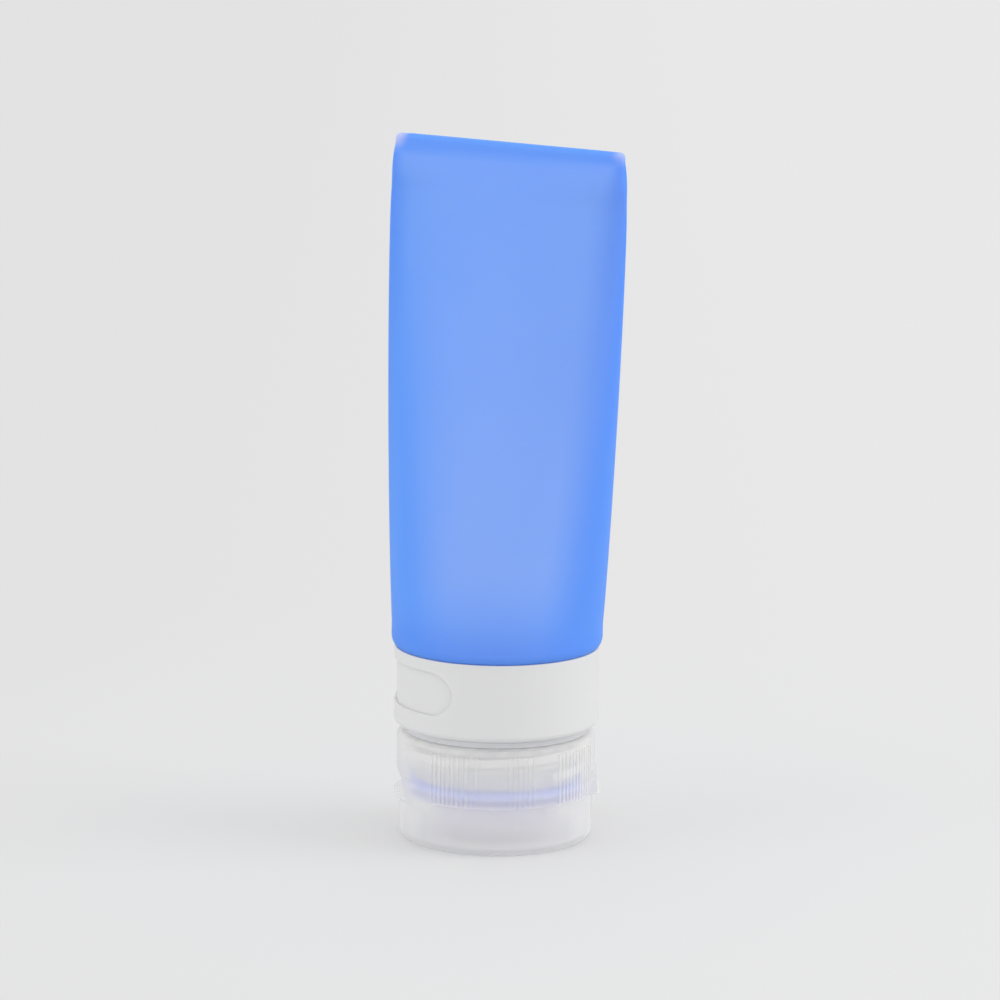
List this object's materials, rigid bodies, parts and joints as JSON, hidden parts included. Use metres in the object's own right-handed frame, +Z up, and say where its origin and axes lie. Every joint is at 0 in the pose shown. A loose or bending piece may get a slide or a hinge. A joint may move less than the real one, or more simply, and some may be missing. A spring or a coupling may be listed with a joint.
{
  "type": "silicone travel bottle",
  "caption": "Soft silicone squeeze tube standing on a translucent flip-top screw cap, with a turning white collar that has a round-ended label window.",
  "frame": {"origin": "centre of the closed lid's end face, on the cap's axis, which is the face the bottle stands on", "axes": "+Z up along the cap's axis from the lid to the seam, +X along the flat seam, +Y across the seam's thickness"},
  "size_m": [0.0512, 0.0422, 0.1401],
  "materials": {
    "blue_silicone": "matte translucent silicone",
    "clear_plastic": "translucent natural polypropylene",
    "white_plastic": "satin white polypropylene"
  },
  "bodies": {
    "bottle": {"tube_body": "blue_silicone", "neck": "clear_plastic", "label_ring": "white_plastic"},
    "collar": {"collar": "white_plastic"},
    "valve": {"valve": "blue_silicone"},
    "cap": {"cap_body": "clear_plastic", "hinge_film": "clear_plastic"},
    "lid": {"lid": "clear_plastic"}
  },
  "joints": [
    {"name": "collar_turn", "type": "hinge", "parent": "bottle", "child": "collar", "pos_m": [0, 0, 0.031], "axis": [0, 0, 1], "continuous": true},
    {"name": "cap_travel", "type": "slide", "parent": "bottle", "child": "valve", "axis": [0, 0, -1], "range_m": [0, 0.006]},
    {"name": "cap_turn", "type": "hinge", "parent": "valve", "child": "cap", "pos_m": [0, 0, 0.016], "axis": [0, 0, -1], "range_deg": [0, 540]},
    {"name": "lid_hinge", "type": "hinge", "parent": "cap", "child": "lid", "pos_m": [0.0184, 0.00858, 0.0099], "axis": [0.4226, -0.9063, 0], "range_deg": [0, 160], "deforming": ["hinge_film"]}
  ],
  "couplings": [
    {"joint": "cap_travel", "follows": "cap_turn", "m_per_rad": 0.00063662}
  ]
}
